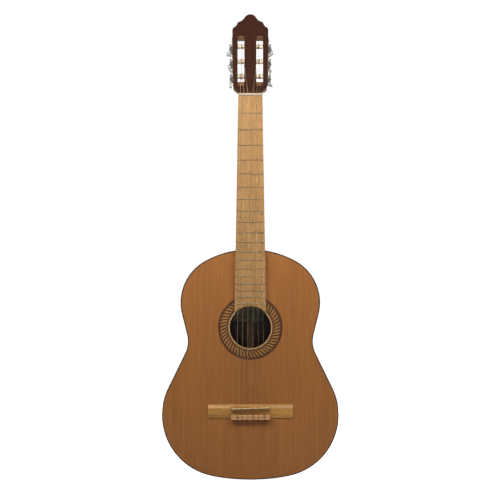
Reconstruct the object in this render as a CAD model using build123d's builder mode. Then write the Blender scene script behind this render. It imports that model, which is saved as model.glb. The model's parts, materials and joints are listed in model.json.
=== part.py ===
"""A six-string classical guitar with a slotted head, in millimetres.

Frame: +Z runs up the centre line from the tail to the head, -Y is the soundboard's side, +X is the treble side.
The origin is the middle of the tail, on the outside of the sides, where a stand carries the body.
"""

from build123d import *
import math
import os

os.makedirs("parts", exist_ok=True)

# ---------------------------------------------------------------- driving dimensions
scale_length = 650.0  # nut to saddle, on the treble side
body_length = 480.0
# width, radius of its arc, and height as a share of the body's length
lower_bout, lower_bout_radius, lower_bout_share = 368.4, 129.0, 0.28
waist, waist_radius, waist_share = 260.0, 57.5, 0.601
upper_bout, upper_bout_radius, upper_bout_share = 290.6, 99.0, 0.769

tail_depth = 96.0  # soundboard face to the back's edge, at the tail
heel_depth = 91.0  # the same at the heel
back_radius = 4000.0  # the back is dished to this sphere

top_thickness = 2.8
back_thickness = 2.6
side_thickness = 2.2
binding_depth = 5.0
lining_width, lining_depth = 5.5, 14.0

hole_radius = 43.0
ring_width = 3.2  # light ring around the sound hole
rosette_width, rosette_depth = 21.0, 1.2

neck_joint_fret, neck_joint_inset = 12, 5.0  # this fret is so far inside the body's end
nut_width, board_joint_width = 50.6, 61.4
board_thickness, board_edge = 6.0, 0.4
board_hole_margin = 2.4  # the fretboard's end stays this far outside the sound hole
last_fret_margin = 4.5  # from the fretboard's end to the last fret, on the centre line
nut_length, nut_height = 5.0, 8.6
fret_count = 19
fret_radius, fret_tang_width, fret_tang_depth, fret_inset = 1.05, 0.55, 2.0, 0.4

neck_depth_nut, neck_depth_joint = 15.4, 18.4  # wood under the fretboard
neck_block_width, neck_block_length = 66.0, 26.0
neck_foot_length, neck_foot_depth = 34.0, 14.0
heel_web_width = 18.0  # the heel's tenon between the ends of the two sides
heel_cap_thickness = 3.0
tail_block_width, tail_block_length = 74.0, 14.0
end_graft_width = 7.0

head_tilt = 15.0  # degrees that the head leans back
head_core, veneer_thickness = 18.0, 2.0
veneer_rise = 1.2  # the veneer's face stands this far in front of the neck's face
crown_height = 35.0  # the head's top over the end of its straight sides
head_side_bottom, head_half_bottom, head_half_top = 18.0, 35.7, 37.8
slot_centre, slot_width = 19.5, 14.0

roller_first, roller_pitch, roller_depth = 39.5, 33.0, 9.0  # up the head from the nut, and behind its face
roller_radius, roller_bore, roller_clearance = 4.9, 2.5, 0.1
inner_pin, pin_clearance = 7.5, 0.5  # how far a roller runs into the head's centre web
slot_below, slot_above = 11.5, 16.5  # from the first and the last roller's axis to the slot's ends
ramp_below, ramp_above, ramp_drop = 14.0, 7.0, 10.0  # the sloping ends of each slot's mouth
plate_thickness, plate_width = 1.2, 15.0
plate_below, plate_above, side_over_plate = 20.5, 19.5, 15.0
gear_teeth, gear_pitch_radius, gear_face = 14, 5.6, 3.4
worm_pitch_radius = 2.4
mesh_gap = 0.15  # between each tooth's tip and the other's root
worm_gap = 0.3  # between the worm and the plate
worm_thread_length, journal_radius, journal_clearance = 9.2, 1.3, 0.06
lug_thickness, lug_gap, lug_half = 1.2, 0.4, 3.0
hub_radius, hub_clearance, hub_stand = 2.6, 0.3, 0.8
plate_gap = 0.4  # between a roller's shoulder and the plate
slot_cut_width, slot_cut_depth = 0.8, 0.7  # the screwdriver slot in a roller's end
screw_radius, screw_length, screw_head_radius, screw_head, screw_taper = 1.3, 9.0, 2.6, 1.3, 25.0
lowest_screw, screw_over_roller = 4.2, 14.0
button_width, button_length, button_thickness = 17.0, 16.0, 7.0
button_corner, button_edge, button_socket = 5.2, 2.2, 9.0
button_gap = 1.6  # between the head's back and the button's collar
collar_length, collar_radius, collar_overlap = 3.0, 3.1, 0.5
button_turns = [20.0, 72.0, 140.0, 0.0, 60.0, 95.0]  # how each key happens to stand, strings 1 to 6

string_radii = [0.36, 0.41, 0.51, 0.37, 0.45, 0.54]  # strings 1 to 6
nut_span, bridge_span = 42.0, 57.5  # outer string to outer string
nut_action, saddle_rise = 1.9, 6.9  # string centres over the fretboard's face, and the saddle's top over it
string_gap = 0.06  # between a string and what it rests on
roller_string_x = [20.6, 19.8, 19.2]  # where strings 1, 2 and 3 meet their rollers
roller_string_gap, roller_bore_offset = 0.3, 2.2
nut_bend, tie_bend, tie_overhang = 1.6, 1.2, 0.6

hole_bar_offset = 62.0  # from the sound hole's middle to the bar on each side of it
cross_bar_width, cross_bar_height = 6.0, 12.0
fan_count, fan_width, fan_height = 7, 6.0, 4.5
fan_top_pitch, fan_bottom_pitch, fan_bottom_z, fan_rise = 15.0, 34.0, 34.0, 4.5
back_brace_width, back_brace_height = 7.0, 13.0
lower_brace_drop, waist_brace_drop = 22.5, 38.5  # under the lower bout's and the waist's middle
upper_brace_gap = 10.0  # over the label
strip_width, strip_thickness = 14.0, 1.6
label_x, label_width, label_length, label_thickness = -5.5, 64.0, 65.0, 0.4
label_over_hole = 10.0  # the label's lower edge over the sound hole's middle

bridge_length, wing_depth, wing_height, wing_edge = 177.0, 29.0, 4.2, 1.4
scoop_radius, scoop_out, scoop_down = 15.0, 14.0, 4.0  # rounds each wing's lower corner
block_length, block_front, block_back = 81.0, 7.4, 24.6  # block edges before and behind the saddle
block_height, block_nose, channel_floor = 9.2, 6.0, 4.6
saddle_wall_front, saddle_wall_back, channel_front = 3.0, 4.2, 5.4  # from the saddle's middle
tie_block_depth, tie_hole_height, tie_hole_clearance = 10.0, 5.6, 0.25
tie_cap_thickness = 1.0
saddle_length, saddle_thickness, saddle_slot_depth, saddle_slant = 78.0, 2.6, 4.6, 1.7
dot_radius, dot_depth, dot_spacing = 1.5, 2.0, 50.0

# ---------------------------------------------------------------- places worked out from them
face_y = -tail_depth / 2  # the soundboard's face
over = 1.0  # cutting solids run this far past what they cut
joint_z = body_length - neck_joint_inset
nut_z = joint_z + scale_length * (1 - 2 ** (-neck_joint_fret / 12))
saddle_z = nut_z - scale_length
nut_back_z = nut_z + nut_length
board_y = face_y - board_thickness  # the fretboard's face
last_fret_z = nut_z - scale_length * (1 - 2 ** (-fret_count / 12))
board_arc = hole_radius + board_hole_margin
hole_z = last_fret_z - last_fret_margin - board_arc
lower_bout_z = lower_bout_share * body_length
waist_z = waist_share * body_length
upper_bout_z = upper_bout_share * body_length
tail_back_y = face_y + tail_depth
heel_back_y = face_y + heel_depth
# the dish's centre, from the back's depth at the tail and at the heel
dish_z = (body_length**2 - 2 * back_radius * (tail_depth - heel_depth)) / (2 * body_length)
dish_y = tail_back_y - math.sqrt(back_radius**2 - dish_z**2)


def front(y):
    """The plane across the guitar at depth y. Its own x and y are the frame's X and Z."""
    return Plane.XZ.offset(-y)


def save(part, name):
    part.label = name
    export_step(part, f"parts/{name}.step")


# ---------------------------------------------------------------- body outline
def end_radius(half, reach, corner):
    """Radius of the end arc, centred on the centre line, that runs smoothly into a bout's arc."""
    return ((half - corner) ** 2 + reach**2 - corner**2) / (2 * (reach - corner))


def common_normal(bout_centre, bout_radius, hollow_centre, hollow_radius, turn):
    """Direction, in degrees, of the normal of the line that touches a bout's arc and the waist's arc."""
    dx, dz = hollow_centre[0] - bout_centre[0], hollow_centre[1] - bout_centre[1]
    lean = math.acos((bout_radius + hollow_radius) / math.hypot(dx, dz))
    return math.degrees(math.atan2(dz, dx) + turn * lean)


def on_arc(centre, radius, angle):
    a = math.radians(angle)
    return (centre[0] + radius * math.cos(a), centre[1] + radius * math.sin(a))


tail_radius = end_radius(lower_bout / 2, lower_bout_z, lower_bout_radius)
top_reach = body_length - upper_bout_z
top_radius = end_radius(upper_bout / 2, top_reach, upper_bout_radius)
tail_centre = (0, tail_radius)
lower_centre = (lower_bout / 2 - lower_bout_radius, lower_bout_z)
waist_centre = (waist / 2 + waist_radius, waist_z)
upper_centre = (upper_bout / 2 - upper_bout_radius, upper_bout_z)
top_centre = (0, body_length - top_radius)
tail_angle = math.degrees(math.atan2(lower_bout_z - tail_radius, lower_centre[0]))
lower_angle = common_normal(lower_centre, lower_bout_radius, waist_centre, waist_radius, -1)
upper_angle = common_normal(upper_centre, upper_bout_radius, waist_centre, waist_radius, 1)
top_angle = math.degrees(math.atan2(upper_bout_z - top_centre[1], upper_centre[0]))


def body_face(inset=0.0):
    """The body's outline as a face, moved in by inset: five arcs and two short lines on each side."""
    lower_end = on_arc(lower_centre, lower_bout_radius - inset, lower_angle)
    hollow_start = on_arc(waist_centre, waist_radius + inset, lower_angle + 180)
    hollow_end = on_arc(waist_centre, waist_radius + inset, upper_angle + 180)
    upper_start = on_arc(upper_centre, upper_bout_radius - inset, upper_angle)
    with BuildSketch() as face:
        with BuildLine():
            CenterArc(tail_centre, tail_radius - inset, -90, tail_angle + 90)
            CenterArc(lower_centre, lower_bout_radius - inset, tail_angle, lower_angle - tail_angle)
            Line(lower_end, hollow_start)
            CenterArc(waist_centre, waist_radius + inset, lower_angle + 180, upper_angle - lower_angle)
            Line(hollow_end, upper_start)
            CenterArc(upper_centre, upper_bout_radius - inset, upper_angle, top_angle - upper_angle)
            CenterArc(top_centre, top_radius - inset, top_angle, 90 - top_angle)
            mirror(about=Plane.YZ)
        make_face()
    return face.sketch


def rim_face(outer, inner):
    """The strip between two insets of the outline."""
    with BuildSketch() as strip:
        add(body_face(outer))
        add(body_face(inner), mode=Mode.SUBTRACT)
    return strip.sketch


deep = 2 * tail_depth  # longer than the body is deep


def under_back(offset):
    """Keeps what lies in front of the back's outer surface, moved in by offset."""
    with Locations((0, dish_y, dish_z)):
        Sphere(back_radius - offset, mode=Mode.INTERSECT)


def over_back(offset):
    """Keeps what lies behind the back's outer surface, moved in by offset."""
    with Locations((0, dish_y, dish_z)):
        Sphere(back_radius - offset, mode=Mode.SUBTRACT)


# ---------------------------------------------------------------- fretboard, frets and nut
def board_half(z):
    return nut_width / 2 + (nut_z - z) / (nut_z - joint_z) * (board_joint_width - nut_width) / 2


def fret_z(number):
    return nut_z - scale_length * (1 - 2 ** (-number / 12))


with BuildPart() as fretboard:
    with BuildSketch(front(face_y)):
        with BuildLine():
            Polyline(
                (-board_half(nut_z), nut_z),
                (-board_half(hole_z), hole_z),
                (board_half(hole_z), hole_z),
                (board_half(nut_z), nut_z),
                close=True,
            )
        make_face()
        with Locations((0, hole_z)):
            Circle(board_arc, mode=Mode.SUBTRACT)
    extrude(amount=board_thickness)
    chamfer(fretboard.faces().sort_by(Axis.Y)[0].edges(), board_edge)
    with Locations(*[(0, board_y + fret_tang_depth / 2, fret_z(n)) for n in range(1, fret_count + 1)]):
        Box(2 * board_joint_width, fret_tang_depth, fret_tang_width, mode=Mode.SUBTRACT)
save(fretboard.part, "fretboard")

with BuildPart() as frets:
    for number in range(1, fret_count + 1):
        z = fret_z(number)
        half = board_half(z) - fret_inset
        with BuildSketch(Plane.YZ.offset(-half)):
            with Locations((board_y, z)):
                Circle(fret_radius)
                Rectangle(2 * fret_radius, 2 * fret_radius, align=(Align.MIN, Align.CENTER), mode=Mode.SUBTRACT)
                Rectangle(fret_tang_depth, fret_tang_width, align=(Align.MIN, Align.CENTER))
        extrude(amount=2 * half)
save(frets.part, "frets")


def nut_x(string):
    """Where string 1 to 6 crosses the nut. String 1 is on the treble side."""
    return nut_span / 2 - (string - 1) * nut_span / 5


def bridge_x(string):
    return bridge_span / 2 - (string - 1) * bridge_span / 5


nut_string_y = board_y - nut_action
nut_break_z = nut_z + nut_length / 5  # where the strings bend down to the head
nut_edge, nut_crown, nut_slope = 0.5, 1.0, 2.0
with BuildPart() as nut:
    with BuildSketch(Plane.YZ.offset(-nut_width / 2)):
        with BuildLine():
            Polyline(
                (face_y, nut_z),
                (face_y - nut_height + nut_edge, nut_z),
                (face_y - nut_height, nut_z + nut_edge),
                (face_y - nut_height, nut_z + nut_edge + nut_crown),
                (face_y - nut_height + nut_slope, nut_back_z),
                (face_y, nut_back_z),
                close=True,
            )
        make_face()
    extrude(amount=nut_width)

# ---------------------------------------------------------------- head frame and tuner places
tilt = math.radians(head_tilt)
# x across, y up the head, z out of its face; the origin is where the face meets the nut
head_plane = Plane(
    origin=(0, face_y - veneer_rise, nut_back_z), x_dir=(1, 0, 0), z_dir=(0, -math.cos(tilt), math.sin(tilt))
)
head_depth = head_core + veneer_thickness
roller_last = roller_first + 2 * roller_pitch
slot_low, slot_high = roller_first - slot_below, roller_last + slot_above
plate_low, plate_high = roller_first - plate_below, roller_last + plate_above
head_side_top = plate_high + side_over_plate
head_top = head_side_top + crown_height


def in_head(x, up, out):
    """A point given in the head's frame, as a frame vector."""
    return head_plane.from_local_coords(Vector(x, up, out))


side_lean = math.atan2(head_half_top - head_half_bottom, head_side_top - head_side_bottom)


def head_half(up):
    """Half the head's width along its straight, slightly flared sides."""
    return head_half_bottom + (up - head_side_bottom) * math.tan(side_lean)


def machine_of(string):
    """Side (+1 treble, -1 bass) and height up the head of the roller that takes a string."""
    side = 1 if string <= 3 else -1
    row = string - 1 if side == 1 else 6 - string
    return side, roller_first + row * roller_pitch


def seat_plane(side, up):
    """On the head's side at a roller's axis: z points out of the side, x up along it."""
    out = in_head(side * math.cos(side_lean), -math.sin(side_lean), 0) - in_head(0, 0, 0)
    along = in_head(side * math.sin(side_lean), math.cos(side_lean), 0) - in_head(0, 0, 0)
    return Plane(origin=in_head(side * head_half(up), up, -roller_depth), x_dir=along, z_dir=out)


gear_pitch = 2 * math.pi * gear_pitch_radius / gear_teeth
tooth_height, tooth_tip, tooth_base = 0.56 * gear_pitch, 0.24 * gear_pitch, 0.46 * gear_pitch
thread_tip, thread_base = 0.24 * gear_pitch, 0.44 * gear_pitch
gear_tip = gear_pitch_radius + (tooth_height - mesh_gap) / 2
gear_root = gear_tip - tooth_height
centre_distance = gear_pitch_radius + worm_pitch_radius
worm_root = centre_distance - gear_tip - mesh_gap
worm_tip = worm_root + tooth_height
gear_middle = plate_thickness + worm_tip + worm_gap  # the gear's mid plane, out from the head's side
gear_low = gear_middle - gear_face / 2


def worm_plane(side, up):
    """On a worm's axis, level with its gear: z points to the back of the head, x out of the side."""
    seat = seat_plane(side, up)
    origin = seat.from_local_coords(Vector(-centre_distance, 0, gear_middle))
    return Plane(origin=origin, x_dir=seat.z_dir, z_dir=-head_plane.z_dir)


strings = range(1, 7)

# ---------------------------------------------------------------- head: core and veneer
def head_face():
    """The head's outline: a domed crest, two steps, flared sides and a throat down to the nut."""
    below = -2 * head_depth * math.tan(tilt)
    dome_end, hollow_end = (12.0, head_top - 7.0), (26.0, head_top - 17.4)
    step_foot, shoulder = (28.2, head_top - 22.6), (36.0, head_top - 29.8)
    cheek = (head_half_bottom, head_side_bottom)
    jaw = (head_half_bottom - 3.3, head_side_bottom - 8.0)
    neck_edge = (nut_width / 2 + 0.3, over)
    with BuildSketch() as outline:
        with BuildLine():
            ThreePointArc((0, head_top), (7.0, head_top - 2.1), dome_end)
            ThreePointArc(dome_end, (17.6, head_top - 13.8), hollow_end)
            Line(hollow_end, step_foot)
            ThreePointArc(step_foot, (31.2, head_top - 27.0), shoulder)
            Line(shoulder, (head_half_top, head_side_top))
            Line((head_half_top, head_side_top), cheek)
            ThreePointArc(cheek, (head_half_bottom - 0.8, head_side_bottom - 4.6), jaw)
            ThreePointArc(jaw, (nut_width / 2 + 2.0, 5.6), neck_edge)
            Polyline(neck_edge, (neck_edge[0], below), (0, below))
            mirror(about=Plane.YZ)
        make_face()
    return outline.sketch


mouth_low = slot_low - ramp_below * (1 + over / ramp_drop)
mouth_high = slot_high + ramp_above * (1 + over / ramp_drop)


with BuildPart() as slot_cutter:
    for side in (1, -1):
        edge = in_head(side * slot_centre - slot_width / 2, 0, 0)
        with BuildSketch(Plane(origin=edge, x_dir=-head_plane.z_dir, z_dir=head_plane.x_dir)):
            with BuildLine():
                Polyline(
                    (-over, mouth_low),
                    (ramp_drop, slot_low),
                    (2 * head_depth, slot_low),
                    (2 * head_depth, slot_high),
                    (ramp_drop, slot_high),
                    (-over, mouth_high),
                    close=True,
                )
            make_face()
        extrude(amount=slot_width)


def roller_reach(string):
    """How far a roller runs in from the head's side: wall, slot and pin."""
    up = machine_of(string)[1]
    return head_half(up) - slot_centre + slot_width / 2 + inner_pin


with BuildPart() as roller_cutter:
    for string in strings:
        with BuildSketch(seat_plane(*machine_of(string))):
            Circle(roller_radius + roller_clearance)
        extrude(amount=-(roller_reach(string) + pin_clearance))


def plate_screw_places(side):
    """Heights up the head of one plate's screws: below the lowest key and above each roller."""
    ups = [plate_low + lowest_screw] + [roller_first + row * roller_pitch + screw_over_roller for row in range(3)]
    return [(side, up) for up in ups]


screw_places = plate_screw_places(1) + plate_screw_places(-1)

with BuildPart() as headstock:
    with BuildSketch(head_plane.offset(-veneer_thickness)):
        add(head_face())
    extrude(amount=-head_core)
    split(bisect_by=Plane.XY.offset(nut_back_z))
    add(slot_cutter.part, mode=Mode.SUBTRACT)
    add(roller_cutter.part, mode=Mode.SUBTRACT)
    for side, up in screw_places:
        with BuildSketch(seat_plane(side, up)):
            Circle(screw_radius)
        extrude(amount=-screw_length, mode=Mode.SUBTRACT)
save(headstock.part, "headstock")

with BuildPart() as head_veneer:
    with BuildSketch(head_plane):
        add(head_face())
    extrude(amount=-veneer_thickness)
    split(bisect_by=Plane.XY.offset(nut_back_z))
    add(slot_cutter.part, mode=Mode.SUBTRACT)
    add(roller_cutter.part, mode=Mode.SUBTRACT)
save(head_veneer.part, "head_veneer")

# ---------------------------------------------------------------- strings
def roller_point(string):
    """Where a string touches down on the front of its roller."""
    side, up = machine_of(string)
    row = string - 1 if side == 1 else 6 - string
    out = -roller_depth + roller_radius + roller_string_gap + 2 * string_radii[string - 1]
    return in_head(side * roller_string_x[row], up, out)


saddle_top_y = board_y - saddle_rise
saddle_crown = saddle_thickness / 2 - 0.05  # radius of the saddle's rounded top
tie_back_z = saddle_z - block_back
tie_front_z = tie_back_z + tie_block_depth
tie_hole_y = face_y - tie_hole_height


def saddle_corner(string, bend):
    """Where a string's two straight runs over the saddle would meet, if it is bent round the crown."""
    x = bridge_x(string)
    set_back = (x - bridge_span / 2) * math.tan(math.radians(saddle_slant))
    crown = Vector(x, saddle_top_y + saddle_crown, saddle_z + set_back)
    to_nut = (Vector(nut_x(string), nut_string_y, nut_break_z) - crown).normalized()
    to_tie = (Vector(x, tie_hole_y, tie_front_z + tie_overhang) - crown).normalized()
    half_angle = math.radians(to_nut.get_angle(to_tie)) / 2
    return crown - (to_nut + to_tie).normalized() * (bend / math.sin(half_angle))


def string_solid(string, radius):
    """A tube along a string's route: tie block, saddle, nut and roller."""
    x = bridge_x(string)
    bend = saddle_crown + radius + string_gap
    with BuildPart() as tube:
        with BuildLine() as route:
            FilletPolyline(
                Vector(x, tie_hole_y, tie_back_z - tie_overhang),
                Vector(x, tie_hole_y, tie_front_z + tie_overhang),
                saddle_corner(string, bend),
                Vector(nut_x(string), nut_string_y, nut_break_z),
                roller_point(string),
                radius=[tie_bend, bend, nut_bend],
            )
        with BuildSketch(Plane(origin=route.line @ 0, z_dir=route.line % 0)):
            Circle(radius)
        sweep(path=route.line)
    return tube.part


for string in strings:
    save(string_solid(string, string_radii[string - 1]), f"string_{string}")

with nut:
    for string in strings:
        radius = string_radii[string - 1] + string_gap
        rest, roller = Vector(nut_x(string), nut_string_y, nut_break_z), roller_point(string)
        for start, end in ((rest, rest - Vector(0, 0, nut_length)), (rest, roller)):
            with BuildSketch(Plane(origin=start, z_dir=end - start)):
                Circle(radius)
            extrude(amount=2 * nut_length, both=True, mode=Mode.SUBTRACT)
save(nut.part, "nut")

# ---------------------------------------------------------------- bridge
block_half = block_length / 2
wing_front_z = saddle_z + block_front
wing_back_z = wing_front_z - wing_depth
wing_middle_z = (wing_front_z + wing_back_z) / 2
slant = math.radians(saddle_slant)
slant_plane = Plane(
    origin=(0, face_y, saddle_z - bridge_span / 2 * math.tan(slant)),
    x_dir=(math.cos(slant), 0, math.sin(slant)),
    z_dir=(0, -1, 0),
)

with BuildPart() as bridge:
    with BuildSketch(Plane.YZ.offset(-bridge_length / 2)):
        with BuildLine():
            back_edge, front_edge = (face_y - wing_edge, wing_back_z), (face_y - wing_edge, wing_front_z)
            Line((face_y, wing_back_z), back_edge)
            ThreePointArc(back_edge, (face_y - wing_height, wing_middle_z), front_edge)
            Polyline(front_edge, (face_y, wing_front_z), (face_y, wing_back_z))
        make_face()
    extrude(amount=bridge_length)
    for end in (-1, 1):
        with BuildSketch(front(face_y)):
            with Locations((end * (bridge_length / 2 + scoop_out), wing_back_z - scoop_down)):
                Circle(scoop_radius)
        extrude(amount=wing_height + over, mode=Mode.SUBTRACT)
    with BuildSketch(Plane.YZ.offset(-block_half)):
        with BuildLine():
            Polyline(
                (face_y, tie_back_z),
                (face_y - block_height + tie_cap_thickness, tie_back_z),
                (face_y - block_height + tie_cap_thickness, tie_front_z),
                (face_y - channel_floor, tie_front_z),
                (face_y - channel_floor, saddle_z - channel_front),
                (face_y - block_height, saddle_z - saddle_wall_back),
                (face_y - block_height, saddle_z + saddle_wall_front),
                (face_y - block_nose, wing_front_z),
                (face_y, wing_front_z),
                close=True,
            )
        make_face()
    extrude(amount=block_length)
    with BuildSketch(slant_plane.offset(block_height - saddle_slot_depth)):
        Rectangle(saddle_length, saddle_thickness)
    extrude(amount=block_height, mode=Mode.SUBTRACT)
    for string in strings:
        with BuildSketch(Plane.XY.offset(tie_back_z - over)):
            with Locations((bridge_x(string), tie_hole_y)):
                Circle(string_radii[string - 1] + tie_hole_clearance)
        extrude(amount=tie_block_depth + 2 * over, mode=Mode.SUBTRACT)
    with BuildSketch(front(face_y - block_height + tie_cap_thickness)):
        with GridLocations(dot_spacing, 0, 2, 1):
            with Locations((0, tie_back_z + tie_block_depth / 2)):
                Circle(dot_radius)
    extrude(amount=-(dot_depth - tie_cap_thickness), mode=Mode.SUBTRACT)
save(bridge.part, "bridge")

with BuildPart() as tie_block_cap:
    with BuildSketch(front(face_y - block_height + tie_cap_thickness)):
        with Locations((0, tie_back_z + tie_block_depth / 2)):
            Rectangle(block_length, tie_block_depth)
            with GridLocations(dot_spacing, 0, 2, 1):
                Circle(dot_radius, mode=Mode.SUBTRACT)
    extrude(amount=tie_cap_thickness)
save(tie_block_cap.part, "tie_block_cap")

with BuildPart() as bridge_dots:
    with BuildSketch(front(face_y - block_height)):
        with Locations((0, tie_back_z + tie_block_depth / 2)):
            with GridLocations(dot_spacing, 0, 2, 1):
                Circle(dot_radius)
    extrude(amount=-dot_depth)
save(bridge_dots.part, "bridge_dots")

saddle_height = face_y - saddle_top_y
with BuildPart() as saddle:
    with BuildSketch(slant_plane.offset(block_height - saddle_slot_depth)):
        Rectangle(saddle_length, saddle_thickness)
    extrude(amount=saddle_height - block_height + saddle_slot_depth)
    top_edges = saddle.faces().sort_by(Axis.Y)[0].edges().sort_by(SortBy.LENGTH)
    fillet(top_edges[-2:], saddle_crown)
save(saddle.part, "saddle")

# ---------------------------------------------------------------- tuning machines
plate_middle = (plate_low + plate_high) / 2
plate_length = (plate_high - plate_low) / math.cos(side_lean)
lug_inner = worm_thread_length / 2 + lug_gap  # from the worm's middle to each lug
lead_angle = math.atan(gear_pitch / (2 * math.pi * worm_pitch_radius))
button_start = head_depth - roller_depth + button_gap  # along the worm, from its middle

with BuildPart() as tuner_plates:
    for side in (1, -1):
        seat = seat_plane(side, plate_middle)
        with BuildSketch(seat):
            RectangleRounded(plate_length, plate_width, plate_width / 5)
        extrude(amount=plate_thickness)
    for string in strings:
        with BuildSketch(seat_plane(*machine_of(string))):
            Circle(hub_radius + hub_clearance)
        extrude(amount=plate_thickness, mode=Mode.SUBTRACT)
    for side, up in screw_places:
        with BuildSketch(seat_plane(side, up)):
            Circle(screw_radius)
        extrude(amount=plate_thickness, mode=Mode.SUBTRACT)
save(tuner_plates.part, "tuner_plates")

with BuildPart() as plate_screws:
    for side, up in screw_places:
        seat = seat_plane(side, up)
        with BuildSketch(seat.offset(plate_thickness)):
            Circle(screw_radius)
        extrude(amount=-(screw_length + plate_thickness))
        with BuildSketch(seat.offset(plate_thickness)):
            Circle(screw_head_radius)
        extrude(amount=screw_head, taper=screw_taper)
save(plate_screws.part, "plate_screws")

with BuildPart() as worm_lugs:
    for string in strings:
        side, up = machine_of(string)
        for end in (1, -1):
            lug_plane = worm_plane(side, up).offset(end * (lug_inner + lug_thickness / 2))
            with BuildSketch(lug_plane):
                Circle(lug_half)
                with Locations((-gear_middle / 2 + plate_thickness / 2, 0)):
                    Rectangle(gear_middle - plate_thickness, 2 * lug_half)
                Circle(journal_radius + journal_clearance, mode=Mode.SUBTRACT)
            extrude(amount=lug_thickness / 2, both=True)
save(worm_lugs.part, "worm_lugs")

# worm: z runs along its shaft to the button, x points to the gear, the origin is level with the gear's axis
root_overlap = 0.2  # the thread and the teeth start this far inside what carries them
thread_run = worm_thread_length - thread_base - root_overlap
with BuildPart() as thread:
    with BuildLine(Plane.XY.offset(-thread_run / 2)):
        Helix(gear_pitch, thread_run, worm_root)
    with BuildSketch(Plane.XZ):
        with BuildLine():
            Polyline(
                (worm_root - root_overlap, -thread_run / 2 - thread_base / 2),
                (worm_tip, -thread_run / 2 - thread_tip / 2),
                (worm_tip, -thread_run / 2 + thread_tip / 2),
                (worm_root - root_overlap, -thread_run / 2 + thread_base / 2),
                close=True,
            )
        make_face()
    sweep(is_frenet=True)
shaft_end = button_start + button_socket
with BuildPart() as worm:
    add(thread.part, rotation=(0, 0, -180 * thread_run / gear_pitch))
    Cylinder(worm_root, worm_thread_length)
    Cylinder(journal_radius, lug_inner + lug_thickness + lug_gap, align=(Align.CENTER, Align.CENTER, Align.MAX))
    Cylinder(journal_radius, shaft_end, align=(Align.CENTER, Align.CENTER, Align.MIN))

# button: the same frame as the worm
with BuildPart() as button:
    with BuildSketch(Plane.XY.offset(button_start)):
        Circle(collar_radius)
    extrude(amount=collar_length)
    with BuildSketch(Plane.YZ):
        with Locations((0, button_start + collar_length + button_length / 2 - collar_overlap)):
            RectangleRounded(button_width, button_length, button_corner)
    extrude(amount=button_thickness / 2, both=True)
    fillet(button.faces().filter_by(Axis.X).edges(), button_edge)
    with BuildSketch(Plane.XY.offset(button_start)):
        Circle(journal_radius)
    extrude(amount=button_socket, mode=Mode.SUBTRACT)

# gear and roller: z runs out of the head's side along their axis, x up the head, the worm is on the -x side
with BuildPart() as gear:
    with BuildSketch(Plane.XY.offset(gear_low)):
        Circle(gear_root)
    extrude(amount=gear_face)
    for tooth in range(gear_teeth):
        angle = 180 + 360 / gear_teeth * (tooth + 0.5)
        outward, sideways = Vector(1, 0, 0).rotate(Axis.Z, angle), Vector(0, 1, 0).rotate(Axis.Z, angle)
        lean = Vector(0, 0, 1) + sideways * math.tan(lead_angle)
        foot_middle = Vector(0, 0, gear_middle) - lean * (gear_face / 2)
        with BuildSketch(Plane(origin=foot_middle, x_dir=outward, z_dir=(0, 0, 1))):
            Polygon(
                (gear_root - root_overlap, -tooth_base / 2),
                (gear_tip, -tooth_tip / 2),
                (gear_tip, tooth_tip / 2),
                (gear_root - root_overlap, tooth_base / 2),
                align=None,
            )
        extrude(amount=gear_face / math.cos(lead_angle), dir=lean)
    with BuildSketch(Plane.XY.offset(gear_low)):
        Circle(hub_radius)
    extrude(amount=gear_face, mode=Mode.SUBTRACT)


def roller_solid(string):
    """Pin, roller and hub in one turned piece, with the string's hole and a screw slot in its end."""
    side, up = machine_of(string)
    row = string - 1 if side == 1 else 6 - string
    reach = roller_reach(string)
    hub_end = gear_low + gear_face + hub_stand
    with BuildPart() as roller:
        with BuildSketch(Plane.XY.offset(-plate_gap)):
            Circle(roller_radius)
        extrude(amount=-(reach - plate_gap))
        with BuildSketch(Plane.XY.offset(-plate_gap)):
            Circle(hub_radius)
        extrude(amount=hub_end + plate_gap)
        with BuildSketch(Plane.XY.offset(hub_end)):
            Rectangle(slot_cut_width, 3 * hub_radius)
        extrude(amount=-slot_cut_depth, mode=Mode.SUBTRACT)
        with BuildSketch(Plane.YZ):
            with Locations((0, roller_string_x[row] - head_half(up) - roller_bore_offset)):
                Circle(roller_bore / 2)
        extrude(amount=2 * roller_radius, both=True, mode=Mode.SUBTRACT)
    return roller.part


for string in strings:
    side, up = machine_of(string)
    seat = seat_plane(side, up)
    shaft = Plane(origin=worm_plane(side, up).origin, x_dir=seat.x_dir, z_dir=-head_plane.z_dir)
    turned = Rotation(0, 0, button_turns[string - 1])
    save(shaft.location * worm.part, f"worm_{string}")
    save(shaft.location * turned * button.part, f"button_{string}")
    save(seat.location * gear.part, f"gear_{string}")
    save(seat.location * roller_solid(string), f"roller_{string}")

# ---------------------------------------------------------------- sound box
hole_edge = hole_radius + ring_width
rosette_edge = hole_edge + rosette_width
with BuildPart() as soundboard:
    with BuildSketch(front(face_y)):
        add(body_face(side_thickness))
        with Locations((0, hole_z)):
            Circle(hole_radius, mode=Mode.SUBTRACT)
    extrude(amount=-top_thickness)
    with BuildSketch(front(face_y)):
        with Locations((0, hole_z)):
            Circle(rosette_edge)
    extrude(amount=-rosette_depth, mode=Mode.SUBTRACT)
save(soundboard.part, "soundboard")

with BuildPart() as rosette:
    with BuildSketch(front(face_y)):
        with Locations((0, hole_z)):
            Circle(rosette_edge)
            Circle(hole_edge, mode=Mode.SUBTRACT)
    extrude(amount=-rosette_depth)
save(rosette.part, "rosette")

with BuildPart() as soundhole_ring:
    with BuildSketch(front(face_y)):
        with Locations((0, hole_z)):
            Circle(hole_edge)
            Circle(hole_radius, mode=Mode.SUBTRACT)
    extrude(amount=-rosette_depth)
save(soundhole_ring.part, "soundhole_ring")

with BuildPart() as top_binding:
    with BuildSketch(front(face_y)):
        add(rim_face(0, side_thickness))
    extrude(amount=-binding_depth)
save(top_binding.part, "top_binding")

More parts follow.
